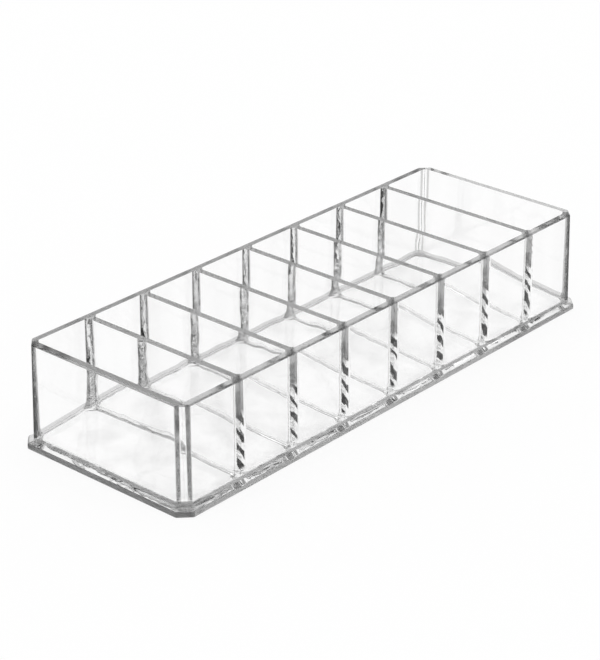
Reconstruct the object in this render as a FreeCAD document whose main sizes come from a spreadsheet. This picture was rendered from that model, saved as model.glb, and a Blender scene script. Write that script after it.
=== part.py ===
import FreeCAD, Part
import math
import os
import Sketcher

# Clear eight-compartment vanity organizer: a base plate with a flared foot, four mitred walls that
# lean out towards it, seven dividers and, in each compartment, the clear bead that rounds its corners.
# Frame: origin at the centre of the underside, X along the row of compartments, Z up, millimetres.

doc = FreeCAD.newDocument("vanity_organizer")
sizes = doc.addObject("Spreadsheet::Sheet", "sizes")

DRIVING_SIZES = (
    ("rim_length", 235.0),        # outside of the walls at the rim, along the row
    ("rim_width", 80.6),          # outside of the walls at the rim, across the row
    ("overall_height", 43.0),     # table to rim
    ("wall_thickness", 3.0),      # at the rim
    ("wall_draft", 0.75),         # how much further out the walls stand at their foot
    ("divider_thickness", 2.8),
    ("corner_chamfer", 3.8),      # leg of the flat on each outer upright corner
    ("foot_reach", 2.1),          # how far the foot stands out past the foot of the walls
    ("foot_chamfer", 4.6),        # leg of the flat on each corner of the foot
    ("foot_lip", 2.0),            # upright edge of the foot, below its sloped top
    ("foot_slope", 1.2),          # rise of the sloped top, from the lip to the floor level
    ("foot_round", 0.5),          # rounding of the foot's lip, top and bottom
    ("bead_at_rim", 2.6),         # corner radius of a compartment at the rim
    ("bead_at_floor", 4.0),       # corner radius of a compartment at its floor
    ("cove_radius", 1.5),         # rounding between floor and walls
)
COMPARTMENTS = 8
DIVIDERS = COMPARTMENTS - 1

for row, (alias, value) in enumerate(DRIVING_SIZES, start=1):
    sizes.set(f"A{row}", alias)
    sizes.set(f"B{row}", str(value))
    sizes.setAlias(f"B{row}", alias)
doc.recompute()

# Sizes that follow from the driving ones, as expressions.
BASE_THICKNESS = "(sizes.foot_lip + sizes.foot_slope)"
WALL_HEIGHT = f"(sizes.overall_height - {BASE_THICKNESS})"
INNER_LENGTH = "(sizes.rim_length - 2 * sizes.wall_thickness)"
INNER_WIDTH = "(sizes.rim_width - 2 * sizes.wall_thickness)"
BAY_LENGTH = f"(({INNER_LENGTH} - {DIVIDERS} * sizes.divider_thickness) / {COMPARTMENTS})"
BAY_PITCH = f"({BAY_LENGTH} + sizes.divider_thickness)"
HALF_LENGTH = "(sizes.rim_length / 2)"
HALF_WIDTH = "(sizes.rim_width / 2)"
LOW_HALF_LENGTH = f"({HALF_LENGTH} + sizes.wall_draft)"
LOW_HALF_WIDTH = f"({HALF_WIDTH} + sizes.wall_draft)"
# The lip is rounded above and below, so each rounding takes less than half of its height.
LIP_ROUND_SHARE = 0.45
LIP_ROUND = f"min(sizes.foot_round; {LIP_ROUND_SHARE} * sizes.foot_lip)"
# Edges whose ends lie this close to a plane are taken to lie in it.
SAME_LEVEL = 1e-6


def value_of(expression):
    return float(sizes.evalExpression(expression))


def origin_plane(body, role):
    return next(plane for plane in body.Origin.OriginFeatures if plane.Role == role)


def level_sketch(body, name, level):
    """A sketch on the body's own XY plane, raised to a level given as an expression."""
    sketch = body.newObject("Sketcher::SketchObject", name)
    sketch.AttachmentSupport = [(origin_plane(body, "XY_Plane"), "")]
    sketch.MapMode = "FlatFace"
    if level is not None:
        sketch.setExpression("AttachmentOffset.Base.z", level)
    return sketch


def pin(sketch, element, end, axis, sign, distance):
    """Holds one end of a sketch line at a distance from the origin, on the side its sign gives."""
    origin, point = (-1, 1), (element, end)
    first, second = (origin, point) if sign > 0 else (point, origin)
    constraint = Sketcher.Constraint(axis, *first, *second, value_of(distance))
    index = sketch.addConstraint(constraint)
    sketch.setExpression(f"Constraints[{index}]", distance)


def polygon(sketch, corners):
    """Draws a closed outline of straight lines through corners of (sign, x, sign, y)."""
    points = [
        FreeCAD.Vector(x_sign * value_of(x), y_sign * value_of(y), 0)
        for x_sign, x, y_sign, y in corners
    ]
    count = len(points)
    for i in range(count):
        sketch.addGeometry(Part.LineSegment(points[i], points[(i + 1) % count]))
    for i in range(count):
        sketch.addConstraint(Sketcher.Constraint("Coincident", i, 2, (i + 1) % count, 1))
    for i, (x_sign, x, y_sign, y) in enumerate(corners):
        pin(sketch, i, 1, "DistanceX", x_sign, x)
        pin(sketch, i, 1, "DistanceY", y_sign, y)


def chamfered_rectangle(sketch, half_length, half_width, chamfer):
    short_x = f"({half_length} - {chamfer})"
    short_y = f"({half_width} - {chamfer})"
    polygon(sketch, (
        (-1, short_x, -1, half_width),
        (1, short_x, -1, half_width),
        (1, half_length, -1, short_y),
        (1, half_length, 1, short_y),
        (1, short_x, 1, half_width),
        (-1, short_x, 1, half_width),
        (-1, half_length, 1, short_y),
        (-1, half_length, -1, short_y),
    ))


def rounded_rectangle(sketch, half_length, half_width, radius):
    """Four lines and four quarter arcs, tangent all round, centred on the origin."""
    a, b, r = value_of(half_length), value_of(half_width), value_of(radius)
    up = FreeCAD.Vector(0, 0, 1)
    turns = ((1, -1), (1, 1), (-1, 1), (-1, -1))
    for i, (x_sign, y_sign) in enumerate(turns):
        centre = FreeCAD.Vector(x_sign * (a - r), y_sign * (b - r), 0)
        start = (i - 1) * math.pi / 2
        quarter = Part.ArcOfCircle(Part.Circle(centre, up, r), start, start + math.pi / 2)
        sketch.addGeometry(quarter)
    arcs = len(turns)
    for i in range(arcs):
        after = (i + 1) % arcs
        start = sketch.Geometry[i].EndPoint
        end = sketch.Geometry[after].StartPoint
        line = sketch.addGeometry(Part.LineSegment(start, end))
        sketch.addConstraint(Sketcher.Constraint("Tangent", i, 2, line, 1))
        sketch.addConstraint(Sketcher.Constraint("Tangent", line, 2, after, 1))
        sketch.addConstraint(Sketcher.Constraint("Horizontal" if i % 2 else "Vertical", line))
    for i in range(1, arcs):
        sketch.addConstraint(Sketcher.Constraint("Equal", 0, i))
    index = sketch.addConstraint(Sketcher.Constraint("Radius", 0, r))
    sketch.setExpression(f"Constraints[{index}]", radius)
    pin(sketch, arcs, 1, "DistanceX", 1, half_length)
    pin(sketch, arcs + 1, 1, "DistanceY", 1, half_width)
    pin(sketch, arcs + 2, 1, "DistanceX", -1, half_length)
    pin(sketch, arcs + 3, 1, "DistanceY", -1, half_width)


def pad(body, name, sketch, length):
    feature = body.newObject("PartDesign::Pad", name)
    feature.Profile = sketch
    feature.setExpression("Length", length)
    return feature


def ruled_loft(body, name, lower, upper):
    feature = body.newObject("PartDesign::AdditiveLoft", name)
    feature.Profile = lower
    feature.Sections = [upper]
    feature.Ruled = True
    return feature


def round_edges_at(body, name, base, level, radius):
    """Rounds every edge of a feature that lies in the level plane."""
    doc.recompute()
    height = value_of(level)
    names = [
        f"Edge{i}"
        for i, edge in enumerate(base.Shape.Edges, start=1)
        if max(abs(vertex.Z - height) for vertex in edge.Vertexes) < SAME_LEVEL
    ]
    feature = body.newObject("PartDesign::Fillet", name)
    feature.Base = (base, names)
    feature.setExpression("Radius", radius)
    return feature


def base_plate():
    """Plinth with an upright lip, a sloped top on its foot and a flat floor inside the walls."""
    body = doc.addObject("PartDesign::Body", "base_plate")
    body.Label = "base_plate"
    foot_half_length = f"({LOW_HALF_LENGTH} + sizes.foot_reach)"
    foot_half_width = f"({LOW_HALF_WIDTH} + sizes.foot_reach)"
    foot = level_sketch(body, "foot_outline", None)
    chamfered_rectangle(foot, foot_half_length, foot_half_width, "sizes.foot_chamfer")
    pad(body, "lip", foot, "sizes.foot_lip")
    lower = level_sketch(body, "slope_foot", "sizes.foot_lip")
    chamfered_rectangle(lower, foot_half_length, foot_half_width, "sizes.foot_chamfer")
    upper = level_sketch(body, "slope_top", BASE_THICKNESS)
    chamfered_rectangle(upper, LOW_HALF_LENGTH, LOW_HALF_WIDTH, "sizes.corner_chamfer")
    slope = ruled_loft(body, "slope", lower, upper)
    rounded = round_edges_at(body, "lip_top_round", slope, "sizes.foot_lip", LIP_ROUND)
    round_edges_at(body, "lip_bottom_round", rounded, "0", LIP_ROUND)
    return body


def wall_outline(sketch, half_length, half_width, lean):
    """Plan of the wall on the -Y side of a rectangle, mitred through the outer corner flats."""
    outer_x, outer_y = f"({half_length} + {lean})", f"({half_width} + {lean})"
    flat_x = f"({outer_x} - sizes.corner_chamfer)"
    mitre_x = f"({outer_x} - sizes.corner_chamfer / 2)"
    mitre_y = f"({outer_y} - sizes.corner_chamfer / 2)"
    inner_x = f"({half_length} - sizes.wall_thickness)"
    inner_y = f"({half_width} - sizes.wall_thickness)"
    polygon(sketch, (
        (-1, flat_x, -1, outer_y),
        (1, flat_x, -1, outer_y),
        (1, mitre_x, -1, mitre_y),
        (1, inner_x, -1, inner_y),
        (-1, inner_x, -1, inner_y),
        (-1, mitre_x, -1, mitre_y),
    ))


def wall(name, half_length, half_width, degrees):
    """One wall, upright inside and leaning out towards its foot, turned to its side of the tray."""
    body = doc.addObject("PartDesign::Body", name)
    body.Label = name
    low = level_sketch(body, f"{name}_foot", None)
    wall_outline(low, half_length, half_width, "sizes.wall_draft")
    high = level_sketch(body, f"{name}_rim", WALL_HEIGHT)
    wall_outline(high, half_length, half_width, "0")
    ruled_loft(body, f"{name}_plate", low, high)
    turn = FreeCAD.Rotation(FreeCAD.Vector(0, 0, 1), degrees)
    body.Placement = FreeCAD.Placement(FreeCAD.Vector(0, 0, value_of(BASE_THICKNESS)), turn)
    body.setExpression("Placement.Base.z", BASE_THICKNESS)
    return body


def divider(number):
    """One flat plate that stands on the base between the two long walls."""
    plate = doc.addObject("Part::Box", f"divider_{number}")
    plate.Label = f"divider_{number}"
    plate.setExpression("Length", "sizes.divider_thickness")
    plate.setExpression("Width", INNER_WIDTH)
    plate.setExpression("Height", WALL_HEIGHT)
    plate.setExpression(
        "Placement.Base.x",
        f"-{INNER_LENGTH} / 2 + {number} * {BAY_PITCH} - sizes.divider_thickness",
    )
    plate.setExpression("Placement.Base.y", f"-{INNER_WIDTH} / 2")
    plate.setExpression("Placement.Base.z", BASE_THICKNESS)
    return plate


def corner_bead(number):
    """The bead of one compartment: its square space less the rounded space that stays open."""
    middle = f"-{INNER_LENGTH} / 2 + {BAY_LENGTH} / 2 + {number - 1} * {BAY_PITCH}"
    square = doc.addObject("Part::Box", f"square_space_{number}")
    square.setExpression("Length", BAY_LENGTH)
    square.setExpression("Width", INNER_WIDTH)
    square.setExpression("Height", WALL_HEIGHT)
    square.setExpression("Placement.Base.x", f"-{BAY_LENGTH} / 2")
    square.setExpression("Placement.Base.y", f"-{INNER_WIDTH} / 2")
    open_space = doc.addObject("PartDesign::Body", f"open_space_{number}")
    low = level_sketch(open_space, f"floor_outline_{number}", None)
    rounded_rectangle(low, f"({BAY_LENGTH} / 2)", f"({INNER_WIDTH} / 2)", "sizes.bead_at_floor")
    high = level_sketch(open_space, f"rim_outline_{number}", WALL_HEIGHT)
    rounded_rectangle(high, f"({BAY_LENGTH} / 2)", f"({INNER_WIDTH} / 2)", "sizes.bead_at_rim")
    upright = ruled_loft(open_space, f"upright_{number}", low, high)
    round_edges_at(open_space, f"cove_{number}", upright, "0", "sizes.cove_radius")
    bead = doc.addObject("Part::Cut", f"corner_bead_{number}")
    bead.Label = f"corner_bead_{number}"
    bead.Base = square
    bead.Tool = open_space
    bead.setExpression("Placement.Base.x", middle)
    bead.setExpression("Placement.Base.z", BASE_THICKNESS)
    return bead


pieces = [
    base_plate(),
    wall("front_wall", HALF_LENGTH, HALF_WIDTH, 0),
    wall("right_end_wall", HALF_WIDTH, HALF_LENGTH, 90),
    wall("back_wall", HALF_LENGTH, HALF_WIDTH, 180),
    wall("left_end_wall", HALF_WIDTH, HALF_LENGTH, 270),
]
pieces += [divider(number) for number in range(1, DIVIDERS + 1)]
pieces += [corner_bead(number) for number in range(1, COMPARTMENTS + 1)]
doc.recompute()

for item in doc.Objects:
    if {"Invalid", "Error"} & set(item.State):
        raise RuntimeError(f"{item.Label} failed: {item.State}")
os.makedirs("parts", exist_ok=True)
for piece in pieces:
    shape = piece.Shape
    if shape.isNull() or not shape.isValid() or len(shape.Solids) != 1:
        raise RuntimeError(f"{piece.Label} is not one valid solid")
for piece in pieces:
    piece.Shape.exportStep(f"parts/{piece.Label}.step")
    box = piece.Shape.BoundBox
    print(f"{piece.Label}: {piece.Shape.Volume:.1f} mm3, z {box.ZMin:.2f} to {box.ZMax:.2f}")
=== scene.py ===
import math

import bmesh
import bpy
from mathutils import Matrix, Vector
from mathutils.geometry import tessellate_polygon


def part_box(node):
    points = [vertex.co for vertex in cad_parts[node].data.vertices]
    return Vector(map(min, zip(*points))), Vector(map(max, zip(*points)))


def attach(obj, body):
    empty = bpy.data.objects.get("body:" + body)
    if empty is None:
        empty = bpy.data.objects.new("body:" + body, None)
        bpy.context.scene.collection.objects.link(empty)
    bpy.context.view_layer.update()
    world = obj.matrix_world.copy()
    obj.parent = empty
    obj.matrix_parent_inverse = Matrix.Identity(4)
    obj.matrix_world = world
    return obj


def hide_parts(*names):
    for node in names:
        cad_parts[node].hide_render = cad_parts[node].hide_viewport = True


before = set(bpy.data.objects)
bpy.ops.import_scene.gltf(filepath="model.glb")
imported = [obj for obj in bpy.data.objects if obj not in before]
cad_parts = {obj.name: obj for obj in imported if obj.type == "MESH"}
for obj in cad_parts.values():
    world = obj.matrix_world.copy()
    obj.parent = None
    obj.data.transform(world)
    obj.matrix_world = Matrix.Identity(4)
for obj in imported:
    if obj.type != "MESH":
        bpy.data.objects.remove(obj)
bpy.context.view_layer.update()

scene = bpy.context.scene
mm = 0.001

# What the frame gives: where the panels stand and how thick they are.
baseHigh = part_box("base_plate")[1]
frontLow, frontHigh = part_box("front_wall")
leftLow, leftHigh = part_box("left_end_wall")
bayCount = sum(name.startswith("corner_bead_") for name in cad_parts)
bays = [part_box(f"corner_bead_{number}") for number in range(1, bayCount + 1)]

draft = 0.75 * mm               # how much further out the walls stand at their foot than at the rim
tray = {
    "halfLength": -leftLow.x - draft,               # outside of the end walls, at the rim
    "halfWidth": -frontLow.y - draft,               # outside of the long walls, at the rim
    "innerHalfLength": -leftHigh.x,
    "innerHalfWidth": -frontHigh.y,
    "floorZ": baseHigh.z,                           # compartment floor
    "rimZ": frontHigh.z,
    "cornerFlat": -2 * (frontHigh.x + leftLow.x),   # leg of the flat on the outer upright corners
    "footReach": baseHigh.x + leftLow.x,            # past the foot of the walls
    "jointGap": 0.02 * mm,                          # cement line between two pieces
}
print("frame:", {key: round(value / mm, 2) for key, value in tray.items()})

# Compartment corners: narrow flats with soft edges, which flare where they run into the floor.
inside = {
    "rimLeg": 1.3 * mm,         # of the flat, along a wall, at the rim
    "lowLeg": 1.7 * mm,         # the same lower down
    "edgeRound": 0.5 * mm,      # where the flat meets the walls
    "edgeSteps": 6,
    "flare": 1.4 * mm,          # added to the leg at the floor
    "roundFlare": 1.0 * mm,     # added to the edge rounding at the floor
    "flareHeight": 4.5 * mm,
    "wallCove": 0.8 * mm,       # rounding between the floor and the outer walls
    "dividerCove": 0.7 * mm,    # the same along a divider
    "levels": 12,
    "coveSteps": 10,
}
edgeShare = math.tan(math.pi / 8)


def flareShare(z):
    return (1 - min((z - tray["floorZ"]) / inside["flareHeight"], 1.0)) ** 2


def cornerLeg(z):
    rise = (z - tray["floorZ"]) / (tray["rimZ"] - tray["floorZ"])
    return inside["lowLeg"] + (inside["rimLeg"] - inside["lowLeg"]) * rise + inside["flare"] * flareShare(z)


def edgeRound(z):
    return inside["edgeRound"] + inside["roundFlare"] * flareShare(z)


def cornerReach(z):
    return cornerLeg(z) + edgeRound(z) * edgeShare


def levelHeights(cove):
    # Closer together near the floor, where the corners flare.
    start = tray["floorZ"] + cove
    count = inside["levels"]
    return [start + (tray["rimZ"] - start) * (i / count) ** 2 for i in range(count + 1)]


# Materials

def hexToLinear(code):
    channels = [int(code[i:i + 2], 16) / 255 for i in (1, 3, 5)]
    return [c / 12.92 if c <= 0.04045 else ((c + 0.055) / 1.055) ** 2.4 for c in channels] + [1.0]


def addNode(tree, kind, settings=None, links=None):
    node = tree.nodes.new(kind)
    for key, value in (settings or {}).items():
        if isinstance(key, int) or key in node.inputs:
            node.inputs[key].default_value = value
        else:
            setattr(node, key, value)
    for key, source in (links or {}).items():
        tree.links.new(source, node.inputs[key])
    return node


def newMaterial(name):
    material = bpy.data.materials.new(name)
    material.use_nodes = True
    material.node_tree.nodes.clear()
    return material, material.node_tree


# What refraction shows where a divider meets a long wall, drawn in the cement between them: plain grey near
# the rim, slanted bars below.
paintedStreaks = {
    "period": 6.6 * mm,         # up the seam
    "slant": 1.3,               # rise per step across
    "wander": 5.0,
    "wanderSize": 6.0 * mm,
    "start": (26.5 * mm, 30.0 * mm),
    "end": (5.5 * mm, 7.0 * mm),
    "bars": (0.28, 0.56),       # wave levels of a dark bar and of a clear one
    "dark": (0.0, 0.12),        # lightness of the dark bars, which varies
    "darkNoise": (0.35, 0.65),  # noise levels that these two belong to
    "greyLow": 0.30,            # plain part, from its lower end to the rim
    "greyRim": 0.52,
}


def paintedStreakTone(tree, place, noise):
    # Painted refraction shade: how much light the streaked seam lets through.
    axes = addNode(tree, "ShaderNodeSeparateXYZ", links={"Vector": place}).outputs
    climb = addNode(tree, "ShaderNodeMath", {"operation": "MULTIPLY_ADD", 1: paintedStreaks["slant"]},
                    {0: axes["X"], 2: axes["Z"]})
    along = addNode(tree, "ShaderNodeCombineXYZ",
                    links={"X": axes["X"], "Y": axes["Y"], "Z": climb.outputs[0]})
    waveScale = math.pi / (10 * paintedStreaks["period"])      # bands come every pi / 10 in the wave node
    bars = addNode(tree, "ShaderNodeTexWave", {
        "bands_direction": "Z", "Scale": waveScale, "Distortion": paintedStreaks["wander"], "Detail": 2.0,
        "Detail Scale": 1 / (paintedStreaks["wanderSize"] * waveScale)}, {"Vector": along.outputs[0]})
    dark = addNode(tree, "ShaderNodeMapRange", {
        "From Min": paintedStreaks["darkNoise"][0], "From Max": paintedStreaks["darkNoise"][1],
        "To Min": paintedStreaks["dark"][0], "To Max": paintedStreaks["dark"][1]}, {"Value": noise})
    barTone = addNode(tree, "ShaderNodeMapRange", {
        "interpolation_type": "SMOOTHSTEP", "From Min": paintedStreaks["bars"][0], "From Max": paintedStreaks["bars"][1],
        "To Max": 1.0}, {"Value": bars.outputs["Fac"], "To Min": dark.outputs[0]})
    lowTone = addNode(tree, "ShaderNodeMapRange", {
        "From Min": paintedStreaks["end"][0], "From Max": paintedStreaks["end"][1], "To Min": 1.0},
        {"Value": axes["Z"], "To Max": barTone.outputs[0]})
    plainTone = addNode(tree, "ShaderNodeMapRange", {
        "From Min": paintedStreaks["start"][1], "From Max": tray["rimZ"],
        "To Min": paintedStreaks["greyLow"], "To Max": paintedStreaks["greyRim"]}, {"Value": axes["Z"]})
    return addNode(tree, "ShaderNodeMapRange", {
        "From Min": paintedStreaks["start"][0], "From Max": paintedStreaks["start"][1]},
        {"Value": axes["Z"], "To Min": lowTone.outputs[0], "To Max": plainTone.outputs[0]}).outputs[0]


def paintedJointShade(tree, place, noise):
    # Painted refraction shade in a cemented seam, grey and streaked, as far as the face is marked for it.
    streak = addNode(tree, "ShaderNodeAttribute", {"attribute_name": "streak"})
    streaked = addNode(tree, "ShaderNodeMapRange", {"To Min": 1.0},
                       {"Value": streak.outputs["Fac"], "To Max": paintedStreakTone(tree, place, noise)})
    seam = addNode(tree, "ShaderNodeAttribute", {"attribute_name": "seam"})
    clearShare = addNode(tree, "ShaderNodeMath", {"operation": "SUBTRACT", 0: 1.0},
                         {1: seam.outputs["Fac"]})
    return addNode(tree, "ShaderNodeMath", {"operation": "MULTIPLY"},
                   {0: streaked.outputs[0], 1: clearShare.outputs[0]}).outputs[0]


def clearAcrylic(name, look):
    material, tree = newMaterial(name)
    place = addNode(tree, "ShaderNodeTexCoord").outputs["Object"]
    # Slow ripple of the surface and a finer skin on it.
    ripple = addNode(tree, "ShaderNodeTexNoise", {"Scale": 1 / look["rippleWidth"], "Detail": 1.0},
                     {"Vector": place})
    skin = addNode(tree, "ShaderNodeTexNoise", {"Scale": 1 / look["skinWidth"], "Detail": 2.0},
                   {"Vector": place})
    waves = addNode(tree, "ShaderNodeBump", {"Strength": 1.0, "Distance": look["rippleHeight"]},
                    {"Height": ripple.outputs[0]})
    relief = addNode(tree, "ShaderNodeBump", {"Strength": 1.0, "Distance": look["skinHeight"]},
                     {"Height": skin.outputs[0], "Normal": waves.outputs[0]})
    # Faint flow marks, drawn out along the way that the plastic ran.
    drawn = addNode(tree, "ShaderNodeVectorMath", {"operation": "DIVIDE", 1: look["markSize"]}, {0: place})
    flow = addNode(tree, "ShaderNodeTexNoise", {"Scale": 1.0, "Detail": 2.0}, {"Vector": drawn.outputs[0]})
    mark = addNode(tree, "ShaderNodeMapRange", {
        "From Min": look["markNoise"][0], "From Max": look["markNoise"][1]}, {"Value": flow.outputs[0]})
    pane = addNode(tree, "ShaderNodeMix", {
        "data_type": "RGBA", 6: hexToLinear(look["paneColour"]), 7: hexToLinear(look["markColour"])},
        {0: mark.outputs[0]})
    # Painted shade: rims and edges are greyer than the panes, by a mark on each face, and rougher with it.
    paintedShade = addNode(tree, "ShaderNodeAttribute", {"attribute_name": "paintedShade"})
    paneAndPaintedShade = addNode(tree, "ShaderNodeMix", {"data_type": "RGBA", 7: hexToLinear(look["paintedShadeColour"])},
                     {0: paintedShade.outputs["Fac"], 6: pane.outputs[2]})
    satin = addNode(tree, "ShaderNodeMapRange",
                    {"To Min": look["roughness"], "To Max": look["edgeRoughness"]},
                    {"Value": paintedShade.outputs["Fac"]})
    shader = addNode(tree, "ShaderNodeBsdfPrincipled", {"IOR": look["ior"], "Transmission Weight": 1.0}, {
        "Normal": relief.outputs[0], "Base Color": paneAndPaintedShade.outputs[2], "Roughness": satin.outputs[0]})
    # Where two pieces are cemented there is no surface to see, only the seam, which carries painted
    # refraction shade.
    through = addNode(tree, "ShaderNodeBsdfTransparent",
                      links={"Color": paintedJointShade(tree, place, skin.outputs[0])})
    bonded = addNode(tree, "ShaderNodeAttribute", {"attribute_name": "bonded"})
    surface = addNode(tree, "ShaderNodeMixShader",
                      links={0: bonded.outputs["Fac"], 1: shader.outputs[0], 2: through.outputs[0]})
    depth = addNode(tree, "ShaderNodeVolumeAbsorption",
                    {"Color": (0.0, 0.0, 0.0, 1.0), "Density": look["absorption"]})
    addNode(tree, "ShaderNodeOutputMaterial",
            links={"Surface": surface.outputs[0], "Volume": depth.outputs[0]})
    return material


acrylic = {
    "ior": 1.49,
    "roughness": 0.0,           # of the panes
    "edgeRoughness": 0.3,       # of the greyest rims and edges
    "rippleWidth": 18 * mm,
    "rippleHeight": 0.25 * mm,
    "skinWidth": 3.0 * mm,
    "skinHeight": 0.001 * mm,
    "absorption": 1.5,          # per metre
    "paneColour": "#ffffff",
    "markColour": "#fcfcfc",
    "markNoise": (0.45, 0.7),   # noise levels where a flow mark starts and is full
    "paintedShadeColour": "#606060",
}
# Cast sheet, polished: clear panes with faint upright draw lines and a satin rim greyed by painted shade.
clearWall = clearAcrylic("polishedCastAcrylicWall", {**acrylic, "markSize": (12 * mm, 12 * mm, 150 * mm)})
# The same sheet, cut thinner.
clearDivider = clearAcrylic("polishedCastAcrylicDivider", {
    **acrylic, "markSize": (14 * mm, 14 * mm, 150 * mm)})
# Moulded plate: a slightly cloudy floor and an edge greyed by painted shade.
clearBase = clearAcrylic("mouldedAcrylicBase", {
    **acrylic, "markSize": (14 * mm, 14 * mm, 14 * mm), "markColour": "#eeeeee"})
# Cement run into the corners: uneven, so that it breaks up what is seen through it.
clearBead = clearAcrylic("solventCementBead", {
    **acrylic, "rippleWidth": 5 * mm, "rippleHeight": 0.5 * mm, "markSize": (6 * mm, 6 * mm, 6 * mm)})
print("materials: 4")

# What a face is: how far it is cemented, how grey and streaked that seam is, how grey its surface.
# The greys stand in for refraction as the photograph shows it, so like faces on two sides can differ.
faceMarks = {
    "open": {},
    "joint": {"bonded": 1.0},
    "greySeam": {"bonded": 1.0, "seam": 0.65},                  # mitres of the walls
    "cornerSeam": {"bonded": 1.0, "seam": 0.6},                 # beads in two of the tray's corners
    "streakSeam": {"bonded": 1.0, "streak": 1.0},               # dividers on the front wall
    "darkSeam": {"bonded": 1.0, "streak": 0.55, "seam": 0.42},  # beads on the back wall
    # Painted shade on the surface: rims, edges, corner strips and the foot are greyed, standing in for
    # light carried inside the plastic.
    "rim": {"paintedShade": 0.7},
    "deepRim": {"paintedShade": 1.0},
    "paintedDividerRim": {"paintedShade": 0.9},
    "edge": {"paintedShade": 0.88},                                     # rounded outer edge of a rim
    "band": {"paintedShade": 0.62},                                     # strips along the outer corners
    "lip": {"paintedShade": 0.95},                                      # ends and corners of the foot
    "paintedLongLip": {"paintedShade": 0.62},                                  # long sides of the foot
    "footLine": {"paintedShade": 0.58},                                 # outer foot of the walls
    "footCorner": {"paintedShade": 0.55},                               # slope of the foot, at its corners
}
markNames = ("bonded", "seam", "streak", "paintedShade")


# Shells: faces given by their corners, welded where corners meet.

weldGrid = 1e-7                 # corners closer than this are one, in metres


def newShell():
    return {"index": {}, "points": [], "faces": [], "kinds": []}


def addFace(shell, corners, kind):
    ids = []
    for point in corners:
        key = tuple(round(c / weldGrid) for c in point)
        if key not in shell["index"]:
            shell["index"][key] = len(shell["points"])
            shell["points"].append(tuple(point))
        if shell["index"][key] not in ids:
            ids.append(shell["index"][key])
    if len(ids) > 2:
        shell["faces"].append(ids)
        shell["kinds"].append(kind)


def stitch(shell, lower, upper, kinds, closed=False):
    # One kind for all the faces, or a list with one for each.
    count = len(lower)
    for i in range(count if closed else count - 1):
        after = (i + 1) % count
        kind = kinds if isinstance(kinds, str) else kinds[i]
        addFace(shell, (lower[i], lower[after], upper[after], upper[i]), kind)


def smoothAndSharpen(mesh, sharpDegrees=32.0):
    work = bmesh.new()
    work.from_mesh(mesh)
    bmesh.ops.recalc_face_normals(work, faces=work.faces)
    openEdges = sum(len(edge.link_faces) != 2 for edge in work.edges)
    if openEdges:
        print(mesh.name, "has", openEdges, "open edges")
    work.to_mesh(mesh)
    work.free()
    mesh.polygons.foreach_set("use_smooth", [True] * len(mesh.polygons))
    mesh.set_sharp_from_angle(angle=math.radians(sharpDegrees))


def placePiece(name, mesh, node):
    piece = bpy.data.objects.new(name, mesh)
    scene.collection.objects.link(piece)
    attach(piece, "root")
    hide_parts(node)
    return piece


def shellPiece(name, shell, node, material):
    mesh = bpy.data.meshes.new(name)
    mesh.from_pydata(shell["points"], [], shell["faces"])
    mesh.materials.append(material)
    for markName in markNames:
        layer = mesh.attributes.new(markName, "FLOAT", "FACE")
        layer.data.foreach_set("value", [faceMarks[kind].get(markName, 0.0) for kind in shell["kinds"]])
    smoothAndSharpen(mesh)
    return placePiece(name, mesh, node)


def roundCorner(before, point, after, radius, steps):
    # Arc points that replace one corner of a flat outline.
    toBefore = (Vector(before) - Vector(point)).normalized()
    toAfter = (Vector(after) - Vector(point)).normalized()
    half = toBefore.angle(toAfter) / 2
    centre = Vector(point) + (toBefore + toAfter).normalized() * radius / math.sin(half)
    first = Vector(point) + toBefore * radius / math.tan(half) - centre
    last = Vector(point) + toAfter * radius / math.tan(half) - centre
    sweep = first.angle(last)
    points = []
    for i in range(steps + 1):
        t = i / steps
        mix = (math.sin((1 - t) * sweep) * first + math.sin(t * sweep) * last) / math.sin(sweep)
        points.append(tuple(centre + mix))
    return points


# Walls

wallEdges = {
    "rimRound": 0.6 * mm,       # outer edge of the rim
    "rimSteps": 5,
    "cornerRound": 0.8 * mm,    # edges of the flat on the outer upright corners
    "cornerSteps": 4,
    "band": 1.5 * mm,           # strip along those edges, on the flat, greyed by painted shade
    "footLine": 1.4 * mm,       # strip along the foot, greyed by painted shade
    "seamReach": 0.6 * mm,      # how far a divider's seam reaches past its sides
}


def wallOutline(halfLength, halfWidth, inset):
    # One wall's outer side in plan, from mitre to mitre, on the -Y side.
    flat = tray["cornerFlat"] - inset * (2 - math.sqrt(2))
    a, b, gap = halfLength - inset, halfWidth - inset, tray["jointGap"] / 2
    mitreRight = (a - flat / 2 - gap, -b + flat / 2 - gap)
    mitreLeft = (-mitreRight[0], mitreRight[1])
    right, left = (a - flat, -b), (-a + flat, -b)
    slip = wallEdges["band"] / math.sqrt(2)
    radius, steps = wallEdges["cornerRound"], wallEdges["cornerSteps"]
    points = [mitreRight, (right[0] + slip, right[1] + slip)]
    points += roundCorner(mitreRight, right, left, radius, steps)
    points += roundCorner(right, left, mitreLeft, radius, steps)
    return points + [(left[0] - slip, left[1] + slip), mitreLeft]


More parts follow.
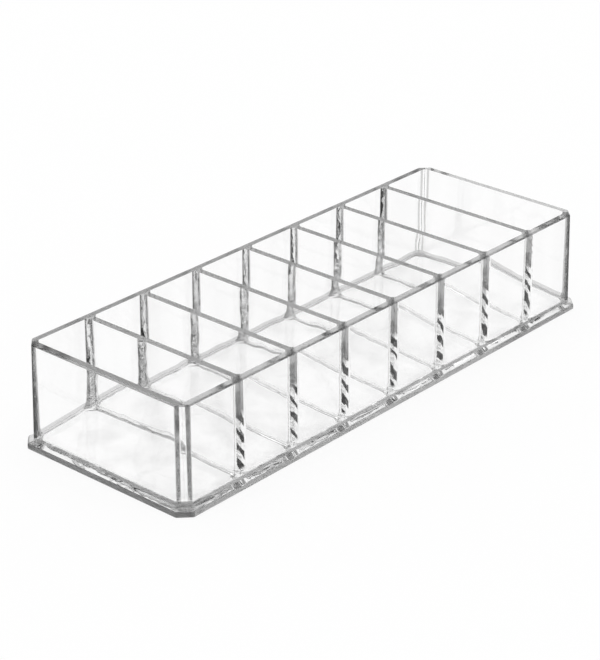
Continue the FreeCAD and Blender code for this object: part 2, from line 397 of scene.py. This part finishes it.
def wallShell(halfLength, halfWidth, innerDepth, windows, rimKind, dividerSeam, beadSeam, endSeams):
    shell = newShell()
    footZ, rimZ, edge = tray["floorZ"] + tray["jointGap"], tray["rimZ"], wallEdges["rimRound"]
    levels = [(0.0, footZ), (0.0, footZ + wallEdges["footLine"])]
    for i in range(wallEdges["rimSteps"] + 1):
        turn = math.pi / 2 * i / wallEdges["rimSteps"]
        levels.append((edge * (1 - math.cos(turn)), rimZ - edge + edge * math.sin(turn)))
    rings = []
    for inset, z in levels:
        lean = draft * (rimZ - z) / (rimZ - footZ)
        rings.append([(x, y, z) for x, y in wallOutline(halfLength + lean, halfWidth + lean, inset)])
    # Painted shade on the strips along the foot and beside the corner flats.
    bandFaces = ["band"] * (wallEdges["cornerSteps"] + 1)
    stitch(shell, rings[0], rings[1], "footLine")
    stitch(shell, rings[1], rings[2], ["open"] + bandFaces + ["open"] + bandFaces + ["open"])
    for lower, upper in zip(rings[2:], rings[3:]):
        stitch(shell, lower, upper, "edge")
    y = -innerDepth
    heights = levelHeights(inside["wallCove"])
    feet, tops = [], []
    for i, (low, high) in enumerate(windows):
        left = [(low + cornerReach(z), y, z) for z in heights]
        right = [(high - cornerReach(z), y, z) for z in heights]
        seamLow = low + (wallEdges["seamReach"] if i > 0 else 0.0)
        seamHigh = high - (wallEdges["seamReach"] if i < len(windows) - 1 else 0.0)
        lowFoot, lowTop = (seamLow, y, footZ), (seamLow, y, rimZ)
        highFoot, highTop = (seamHigh, y, footZ), (seamHigh, y, rimZ)
        if feet:
            addFace(shell, (feet[-1], lowFoot, lowTop, tops[-1]), dividerSeam)
        lowKind = beadSeam if i > 0 else endSeams[0]
        highKind = beadSeam if i < len(windows) - 1 else endSeams[1]
        addFace(shell, [lowFoot, lowTop] + left[::-1], lowKind)
        addFace(shell, [highFoot, highTop] + right[::-1], highKind)
        addFace(shell, (lowFoot, left[0], right[0], highFoot), "joint")
        addFace(shell, left + right[::-1], "open")
        feet += [lowFoot, highFoot]
        tops += [lowTop, left[-1], right[-1], highTop]
    addFace(shell, rings[-1] + tops, rimKind)
    addFace(shell, rings[0] + feet, "joint")
    addFace(shell, [ring[0] for ring in rings] + [tops[-1], feet[-1]], "greySeam")
    addFace(shell, [ring[-1] for ring in rings] + [tops[0], feet[0]], "greySeam")
    return shell


def turnShell(shell, degrees):
    turn = Matrix.Rotation(math.radians(degrees), 3, "Z")
    shell["points"] = [tuple(turn @ Vector(p)) for p in shell["points"]]
    return shell


longWindows = [(low.x, high.x) for low, high in bays]
endWindows = [(bays[0][0].y, bays[0][1].y)]
# Piece, node, turn, and the kinds of its rim, divider seams, bead seams and the two beads at its ends.
# The back and left end walls get a darker painted rim shade; the painted streaks go on the front wall's
# divider seams.
wallPlan = (
    ("frontWall", "front_wall", 0, "rim", "streakSeam", "joint", ("joint", "joint")),
    ("backWall", "back_wall", 180, "deepRim", "joint", "darkSeam", ("joint", "cornerSeam")),
    ("rightEndWall", "right_end_wall", 90, "rim", "joint", "joint", ("cornerSeam", "joint")),
    ("leftEndWall", "left_end_wall", 270, "deepRim", "joint", "joint", ("joint", "joint")),
)
for name, node, degrees, *kinds in wallPlan:
    if degrees in (0, 180):
        sides = (tray["halfLength"], tray["halfWidth"], tray["innerHalfWidth"], longWindows)
    else:
        sides = (tray["halfWidth"], tray["halfLength"], tray["innerHalfLength"], endWindows)
    shell = wallShell(*sides, *kinds)
    shellPiece(name, turnShell(shell, degrees), node, clearWall)
print("walls: 4")


# Corner beads

def cornerPath(square, i, z, inset):
    # Plan of one compartment corner, counter-clockwise: side, flat, next side.
    along = Vector((math.cos(math.pi / 2 * i), math.sin(math.pi / 2 * i)))
    onward = Vector((-along.y, along.x))
    point = Vector(square[i]) + inset * (onward - along)
    leg = cornerLeg(z) - inset * (2 - math.sqrt(2))
    first, last = point - leg * along, point + leg * onward
    path = roundCorner(first - along, first, last, edgeRound(z), inside["edgeSteps"])
    return path + roundCorner(first, last, last + onward, edgeRound(z), inside["edgeSteps"])


def beadColumns(low, high, coves):
    # For each corner, its points from the rim down and round the cove to the floor.
    gap = tray["jointGap"]
    square = [(high.x - gap, low.y + gap), (high.x - gap, high.y - gap),
              (low.x + gap, high.y - gap), (low.x + gap, low.y + gap)]
    count = 2 * (inside["edgeSteps"] + 1)
    corners = []
    for i in range(4):
        columns = []
        for j in range(count):
            t = j / (count - 1)
            cove = coves[i - 1] + (coves[i] - coves[i - 1]) * t * t * (3 - 2 * t)
            wall = [(*cornerPath(square, i, z, 0.0)[j], z) for z in levelHeights(cove)[::-1]]
            bowl = []
            for k in range(1, inside["coveSteps"] + 1):
                turn = math.pi / 2 * k / inside["coveSteps"]
                z = tray["floorZ"] + cove * (1 - math.sin(turn))
                bowl.append((*cornerPath(square, i, z, cove * (1 - math.cos(turn)))[j], z))
            columns.append(wall + bowl)
        corners.append(columns)
    return square, corners


def beadShell(square, corners, footKinds):
    shell = newShell()
    rimZ, footZ = tray["rimZ"], tray["floorZ"] + tray["jointGap"]
    wallEnd = inside["levels"]      # place in a column where the cove starts
    for i, columns in enumerate(corners):
        x, y = square[i]
        top, foot = (x, y, rimZ), (x, y, footZ)
        for column, beside in zip(columns, columns[1:]):
            stitch(shell, column, beside, "open")
            addFace(shell, (column[0], beside[0], top), "rim")
            addFace(shell, (column[-1], beside[-1], foot), "joint")
        for column in (columns[0], columns[-1]):
            addFace(shell, [foot, top] + column[:wallEnd + 1], "joint")
        here, there = columns[-1], corners[(i + 1) % 4][0]
        nextFoot = (*square[(i + 1) % 4], footZ)
        stitch(shell, here[wallEnd:], there[wallEnd:], "open")
        addFace(shell, (foot, here[wallEnd], there[wallEnd], nextFoot), "joint")
        addFace(shell, (foot, here[-1], there[-1], nextFoot), footKinds[i])
    return shell


# The dividers and the beads along them rest on the floor without cement.
floorCorners = []
for number, (low, high) in enumerate(bays, start=1):
    coves, footKinds = [], []
    for isWall in (number == len(bays), True, number == 1, True):
        coves.append(inside["wallCove"] if isWall else inside["dividerCove"])
        footKinds.append("joint" if isWall else "open")
    square, corners = beadColumns(low, high, coves)
    floorCorners.append([[column[-1] for column in columns] for columns in corners])
    shell = beadShell(square, corners, footKinds)
    shellPiece(f"cornerBead{number}", shell, f"corner_bead_{number}", clearBead)
print("corner beads:", len(bays))


# Base plate

foot = {
    "lip": 2.0 * mm,            # upright edge, below the sloped top
    "flat": 4.6 * mm,           # leg of the flat on its corners
    "bottomRound": 0.3 * mm,
    "topRound": 0.9 * mm,
    "cornerRound": 1.2 * mm,
    "cornerSteps": 6,
    "steps": 5,
}


def trayOutline(offset):
    # The outline of the walls' foot in plan, moved out by an offset, as a closed loop.
    flat = tray["cornerFlat"] + (foot["flat"] - tray["cornerFlat"]) * offset / tray["footReach"]
    a, b = tray["halfLength"] + draft + offset, tray["halfWidth"] + draft + offset
    corners = [(-a + flat, -b), (a - flat, -b), (a, -b + flat), (a, b - flat),
               (a - flat, b), (-a + flat, b), (-a, b - flat), (-a, -b + flat)]
    points = []
    for i, point in enumerate(corners):
        points += roundCorner(corners[i - 1], point, corners[(i + 1) % 8], foot["cornerRound"],
                              foot["cornerSteps"])
    return points


def baseShell():
    shell = newShell()
    floorZ, reach = tray["floorZ"], tray["footReach"]
    under, edge, lipTop, slopeTop = (0.0, 0.0), (reach, 0.0), (reach, foot["lip"]), (0.0, floorZ)
    profile = roundCorner(under, edge, lipTop, foot["bottomRound"], foot["steps"])
    profile += roundCorner(edge, lipTop, slopeTop, foot["topRound"], foot["steps"]) + [slopeTop]
    rings = [[(x, y, z) for x, y in trayOutline(offset)] for offset, z in profile]
    # Each corner's arc is followed by a side: long, flat, end, flat, and the same again.
    # Painted shade on the foot: the lip's ends and corners greyer than its long sides, and the slope's
    # corners greyed.
    lipArc = ["lip"] * foot["cornerSteps"]
    lipKinds = (lipArc + ["paintedLongLip"] + (lipArc + ["lip"]) * 3) * 2
    for lower, upper in zip(rings[:-1], rings[1:-1]):
        stitch(shell, lower, upper, lipKinds, closed=True)
    slopeArc = ["footCorner"] * foot["cornerSteps"]
    slopeKinds = (slopeArc + ["open"] + slopeArc + ["footCorner"]) * 4
    stitch(shell, rings[-2], rings[-1], slopeKinds, closed=True)
    addFace(shell, rings[0], "open")
    for corners in floorCorners:
        addFace(shell, sum(corners, []), "open")
    for here, there in zip(floorCorners, floorCorners[1:]):
        addFace(shell, (here[0][-1], there[3][0], there[2][-1], here[1][0]), "open")
    # The cemented ring runs round all the compartments together.
    inner = []
    for corners in floorCorners:
        inner += corners[3] + corners[0]
    for corners in floorCorners[::-1]:
        inner += corners[1] + corners[2]
    points = rings[-1] + inner
    for triangle in tessellate_polygon([[Vector(p) for p in loop] for loop in (rings[-1], inner)]):
        addFace(shell, [points[i] for i in triangle], "joint")
    return shell


shellPiece("basePlate", baseShell(), "base_plate", clearBase)
print("base plate: 1")


# Dividers: one Geometry Nodes tree makes the plate from its sizes.

def dividerTree():
    tree = bpy.data.node_groups.new("dividerPlate", "GeometryNodeTree")
    kinds = {"Levels": "NodeSocketInt", "Clear": "NodeSocketMaterial"}
    sockets = {}
    for name in ("Back X", "Thickness", "Half Width", "Foot", "Floor", "Pane Foot", "Flare Top", "Rim",
                 "Low Reach", "Rim Reach", "Flare", "Levels", "Clear"):
        kind = kinds.get(name, "NodeSocketFloat")
        sockets[name] = tree.interface.new_socket(name, in_out="INPUT", socket_type=kind).identifier
    tree.interface.new_socket("Geometry", in_out="OUTPUT", socket_type="NodeSocketGeometry")
    given = addNode(tree, "NodeGroupInput").outputs
    # A sheet of 4 columns, at -1, -1/3, 1/3 and 1: the middle strip above its lowest row is the open pane.
    innerColumn = 0.6
    turned = 0.5                # part of a face's normal that decides which way it faces
    rows = addNode(tree, "ShaderNodeMath", {"operation": "ADD", 1: 2.0}, {0: given["Levels"]})
    grid = addNode(tree, "GeometryNodeMeshGrid", {"Size X": 2.0, "Size Y": 2.0, "Vertices X": 4},
                   {"Vertices Y": rows.outputs[0]})
    row = addNode(tree, "ShaderNodeMath", {"operation": "MODULO"},
                  {0: addNode(tree, "GeometryNodeInputIndex").outputs[0], 1: rows.outputs[0]})
    topRow = addNode(tree, "ShaderNodeMath", {"operation": "ADD", 1: 1.0}, {0: given["Levels"]})
    climb = addNode(tree, "ShaderNodeMapRange", {"From Min": 1.0},
                    {"Value": row.outputs[0], "From Max": topRow.outputs[0]})
    lift = addNode(tree, "ShaderNodeMath", {"operation": "POWER", 1: 2.0}, {0: climb.outputs[0]})
    paneZ = addNode(tree, "ShaderNodeMapRange", links={
        "Value": lift.outputs[0], "To Min": given["Pane Foot"], "To Max": given["Rim"]})
    z = addNode(tree, "ShaderNodeMapRange", links={
        "Value": row.outputs[0], "To Min": given["Foot"], "To Max": paneZ.outputs[0]})
    # The corner flats take more of the pane lower down, and most at the floor.
    plainReach = addNode(tree, "ShaderNodeMapRange", links={
        "Value": z.outputs[0], "From Min": given["Floor"], "From Max": given["Rim"],
        "To Min": given["Low Reach"], "To Max": given["Rim Reach"]})
    fall = addNode(tree, "ShaderNodeMapRange", {"To Min": 1.0, "To Max": 0.0}, {
        "Value": z.outputs[0], "From Min": given["Floor"], "From Max": given["Flare Top"]})
    share = addNode(tree, "ShaderNodeMath", {"operation": "POWER", 1: 2.0}, {0: fall.outputs[0]})
    reach = addNode(tree, "ShaderNodeMath", {"operation": "MULTIPLY_ADD"},
                    {0: share.outputs[0], 1: given["Flare"], 2: plainReach.outputs[0]})
    column = addNode(tree, "ShaderNodeSeparateXYZ", links={
        "Vector": addNode(tree, "GeometryNodeInputPosition").outputs[0]}).outputs["X"]
    side = addNode(tree, "ShaderNodeMath", {"operation": "SIGN"}, {0: column})
    offside = addNode(tree, "ShaderNodeMath", {"operation": "ABSOLUTE"}, {0: column})
    isInner = addNode(tree, "ShaderNodeMath", {"operation": "LESS_THAN", 1: innerColumn},
                      {0: offside.outputs[0]})
    inset = addNode(tree, "ShaderNodeMath", {"operation": "MULTIPLY"},
                    {0: isInner.outputs[0], 1: reach.outputs[0]})
    half = addNode(tree, "ShaderNodeMath", {"operation": "SUBTRACT"},
                   {0: given["Half Width"], 1: inset.outputs[0]})
    across = addNode(tree, "ShaderNodeMath", {"operation": "MULTIPLY"},
                     {0: side.outputs[0], 1: half.outputs[0]})
    spot = addNode(tree, "ShaderNodeCombineXYZ",
                   links={"X": given["Back X"], "Y": across.outputs[0], "Z": z.outputs[0]})
    sheet = addNode(tree, "GeometryNodeSetPosition",
                    links={"Geometry": grid.outputs["Mesh"], "Position": spot.outputs[0]})
    push = addNode(tree, "ShaderNodeCombineXYZ", links={"X": given["Thickness"]})
    thick = addNode(tree, "GeometryNodeExtrudeMesh", {"Individual": False, "Offset Scale": 1.0},
                    {"Mesh": sheet.outputs["Geometry"], "Offset": push.outputs[0]})
    both = addNode(tree, "GeometryNodeJoinGeometry", links={0: thick.outputs["Mesh"]})
    tree.links.new(sheet.outputs["Geometry"], both.inputs[0])
    weld = addNode(tree, "GeometryNodeMergeByDistance", {"Distance": weldGrid},
                   {"Geometry": both.outputs[0]})
    # Panes, rim and cemented sides are told apart by where they lie and face.
    centre = addNode(tree, "ShaderNodeSeparateXYZ", links={
        "Vector": addNode(tree, "GeometryNodeInputPosition").outputs[0]}).outputs
    facing = addNode(tree, "ShaderNodeSeparateXYZ", links={
        "Vector": addNode(tree, "GeometryNodeInputNormal").outputs[0]}).outputs
    isUpright = addNode(tree, "ShaderNodeMath", {"operation": "COMPARE", 1: 0.0, 2: turned},
                        {0: facing["Z"]})
    isAlong = addNode(tree, "ShaderNodeMath", {"operation": "COMPARE", 1: 0.0, 2: turned},
                      {0: facing["Y"]})
    isMiddle = addNode(tree, "ShaderNodeMath", {"operation": "COMPARE", 1: 0.0},
                       {0: centre["Y"], 2: given["Rim Reach"]})
    isHigh = addNode(tree, "ShaderNodeMath", {"operation": "GREATER_THAN"},
                     {0: centre["Z"], 1: given["Pane Foot"]})
    isSide = addNode(tree, "ShaderNodeMath", {"operation": "MULTIPLY"},
                     {0: isUpright.outputs[0], 1: isAlong.outputs[0]})
    isClear = addNode(tree, "ShaderNodeMath", {"operation": "MULTIPLY"},
                      {0: isMiddle.outputs[0], 1: isHigh.outputs[0]})
    isPane = addNode(tree, "ShaderNodeMath", {"operation": "MULTIPLY"},
                     {0: isSide.outputs[0], 1: isClear.outputs[0]})
    isRim = addNode(tree, "ShaderNodeMath", {"operation": "GREATER_THAN", 1: turned}, {0: facing["Z"]})
    isBonded = addNode(tree, "ShaderNodeMath", {"operation": "SUBTRACT"},
                       {0: isUpright.outputs[0], 1: isPane.outputs[0]})
    bonded = addNode(tree, "GeometryNodeStoreNamedAttribute",
                     {"data_type": "FLOAT", "domain": "FACE", "Name": "bonded"},
                     {"Geometry": weld.outputs[0], "Value": isBonded.outputs[0]})
    # Painted shade on the divider's rim.
    rimPaintedShade = addNode(tree, "ShaderNodeMath", {"operation": "MULTIPLY", 1: faceMarks["paintedDividerRim"]["paintedShade"]},
                      {0: isRim.outputs[0]})
    paintedShadeStored = addNode(tree, "GeometryNodeStoreNamedAttribute",
                     {"data_type": "FLOAT", "domain": "FACE", "Name": "paintedShade"},
                     {"Geometry": bonded.outputs[0], "Value": rimPaintedShade.outputs[0]})
    clear = addNode(tree, "GeometryNodeSetMaterial",
                    links={"Geometry": paintedShadeStored.outputs[0], "Material": given["Clear"]})
    addNode(tree, "NodeGroupOutput", links={"Geometry": clear.outputs[0]})
    return tree, sockets


plateTree, plateSockets = dividerTree()


def dividerPiece(number):
    node = f"divider_{number}"
    low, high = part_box(node)
    gap = tray["jointGap"]
    values = {
        "Back X": low.x,
        "Thickness": high.x - low.x,
        "Half Width": high.y - gap,
        "Foot": low.z + gap,
        "Floor": low.z,
        "Pane Foot": low.z + inside["dividerCove"],
        "Flare Top": low.z + inside["flareHeight"],
        "Rim": high.z,
        "Low Reach": inside["lowLeg"] + inside["edgeRound"] * edgeShare,
        "Rim Reach": inside["rimLeg"] + inside["edgeRound"] * edgeShare,
        "Flare": inside["flare"] + inside["roundFlare"] * edgeShare,
        "Levels": inside["levels"],
        "Clear": clearDivider,
    }
    carrier = bpy.data.objects.new(f"dividerCarrier{number}", bpy.data.meshes.new("carrier"))
    scene.collection.objects.link(carrier)
    modifier = carrier.modifiers.new("plate", "NODES")
    modifier.node_group = plateTree
    for name, value in values.items():
        modifier[plateSockets[name]] = value
    depsgraph = bpy.context.evaluated_depsgraph_get()
    mesh = bpy.data.meshes.new_from_object(carrier.evaluated_get(depsgraph))
    bpy.data.objects.remove(carrier)
    mesh.name = f"divider{number}"
    smoothAndSharpen(mesh)
    return placePiece(f"divider{number}", mesh, node)


dividers = [dividerPiece(number) for number in range(1, bayCount)]
print("dividers:", len(dividers))


# Stage: a white table, a soft studio and the camera.

stage = {
    "floorDrop": 0.3 * mm,      # below the tray, so that the two do not share a face
    "floorHalf": 3.0,           # metres
    "floorColour": "#fafafa",
    "whiteSeen": 0.9,           # how far the open table is held at plain white; the rest shows the shadow
}


def floorMaterial():
    material, tree = newMaterial("whiteTable")
    path = addNode(tree, "ShaderNodeLightPath").outputs
    direct = addNode(tree, "ShaderNodeMath", {"operation": "MULTIPLY", 1: stage["whiteSeen"]},
                     {0: path["Is Camera Ray"]})
    through = addNode(tree, "ShaderNodeMath", {"operation": "MAXIMUM"},
                      {0: path["Is Glossy Ray"], 1: path["Is Transmission Ray"]})
    share = addNode(tree, "ShaderNodeMath", {"operation": "MAXIMUM"},
                    {0: direct.outputs[0], 1: through.outputs[0]})
    lit = addNode(tree, "ShaderNodeBsdfDiffuse", {"Color": hexToLinear(stage["floorColour"])})
    white = addNode(tree, "ShaderNodeEmission", {"Color": hexToLinear("#ffffff"), "Strength": 1.0})
    mix = addNode(tree, "ShaderNodeMixShader",
                  links={0: share.outputs[0], 1: lit.outputs[0], 2: white.outputs[0]})
    addNode(tree, "ShaderNodeOutputMaterial", links={"Surface": mix.outputs[0]})
    return material


floorMesh = bpy.data.meshes.new("table")
reach, drop = stage["floorHalf"], -stage["floorDrop"]
tableCorners = [(x * reach, y * reach, drop) for x, y in ((-1, -1), (1, -1), (1, 1), (-1, 1))]
floorMesh.from_pydata(tableCorners, [], [(0, 1, 2, 3)])
floorMesh.materials.append(floorMaterial())
table = bpy.data.objects.new("table", floorMesh)
scene.collection.objects.link(table)

# White sweep up to the horizon line, a dim band above it and a wide soft box overhead.
studio = {
    "sweep": 1.0,
    "sweepEnd": (0.50, 0.62),   # heights are sines of the elevation
    "band": 0.25,
    "boxStart": (0.72, 0.84),
    "box": 1.6,
}


def studioWorld():
    world = bpy.data.worlds.new("studio")
    world.use_nodes = True
    tree = world.node_tree
    tree.nodes.clear()
    spot = addNode(tree, "ShaderNodeTexCoord").outputs["Generated"]
    height = addNode(tree, "ShaderNodeSeparateXYZ", links={"Vector": spot}).outputs["Z"]
    sweep = addNode(tree, "ShaderNodeMapRange", {
        "interpolation_type": "SMOOTHSTEP", "From Min": studio["sweepEnd"][0],
        "From Max": studio["sweepEnd"][1], "To Min": studio["sweep"], "To Max": studio["band"]},
        {"Value": height})
    box = addNode(tree, "ShaderNodeMapRange", {
        "interpolation_type": "SMOOTHSTEP", "From Min": studio["boxStart"][0],
        "From Max": studio["boxStart"][1], "To Min": 0.0, "To Max": studio["box"] - studio["band"]},
        {"Value": height})
    level = addNode(tree, "ShaderNodeMath", {"operation": "ADD"}, {0: sweep.outputs[0], 1: box.outputs[0]})
    light = addNode(tree, "ShaderNodeBackground", {"Color": hexToLinear("#ffffff")},
                    {"Strength": level.outputs[0]})
    addNode(tree, "ShaderNodeOutputWorld", links={"Surface": light.outputs[0]})
    return world


scene.world = studioWorld()
print("stage: table and studio")

# The photograph's viewpoint, solved from the rim and base corners.
view = {
    "azimuth": -48.615,         # degrees, round from the front
    "elevation": 25.669,
    "aside": -6.76 * mm,        # from the origin, across the picture
    "above": 16.30 * mm,        # the same, up the picture
    "distance": 892.56 * mm,
    "focalPixels": 2233.0,
    "imageHeight": 660.0,       # pixels, the longer side of the picture
    "sensor": 36.0,
}
azimuth, elevation = math.radians(view["azimuth"]), math.radians(view["elevation"])
flat = math.cos(elevation)
back = Vector((math.sin(azimuth) * flat, -math.cos(azimuth) * flat, math.sin(elevation)))
right = Vector((math.cos(azimuth), math.sin(azimuth), 0.0))
up = back.cross(right)
cameraData = bpy.data.cameras.new("camera")
cameraData.sensor_width = view["sensor"]
cameraData.lens = view["focalPixels"] * view["sensor"] / view["imageHeight"]
camera = bpy.data.objects.new("camera", cameraData)
camera.matrix_world = Matrix((right, up, back)).transposed().to_4x4()
camera.location = right * view["aside"] + up * view["above"] + back * view["distance"]
scene.collection.objects.link(camera)
scene.camera = camera
print("camera:", round(cameraData.lens, 1), "mm lens")

# A ray crosses many clear faces and joints before it leaves the tray.
bounces = {
    "max_bounces": 64,
    "transmission_bounces": 64,
    "glossy_bounces": 32,
    "transparent_max_bounces": 96,
}
for name, count in bounces.items():
    setattr(scene.cycles, name, count)
scene.view_settings.view_transform = "Standard"
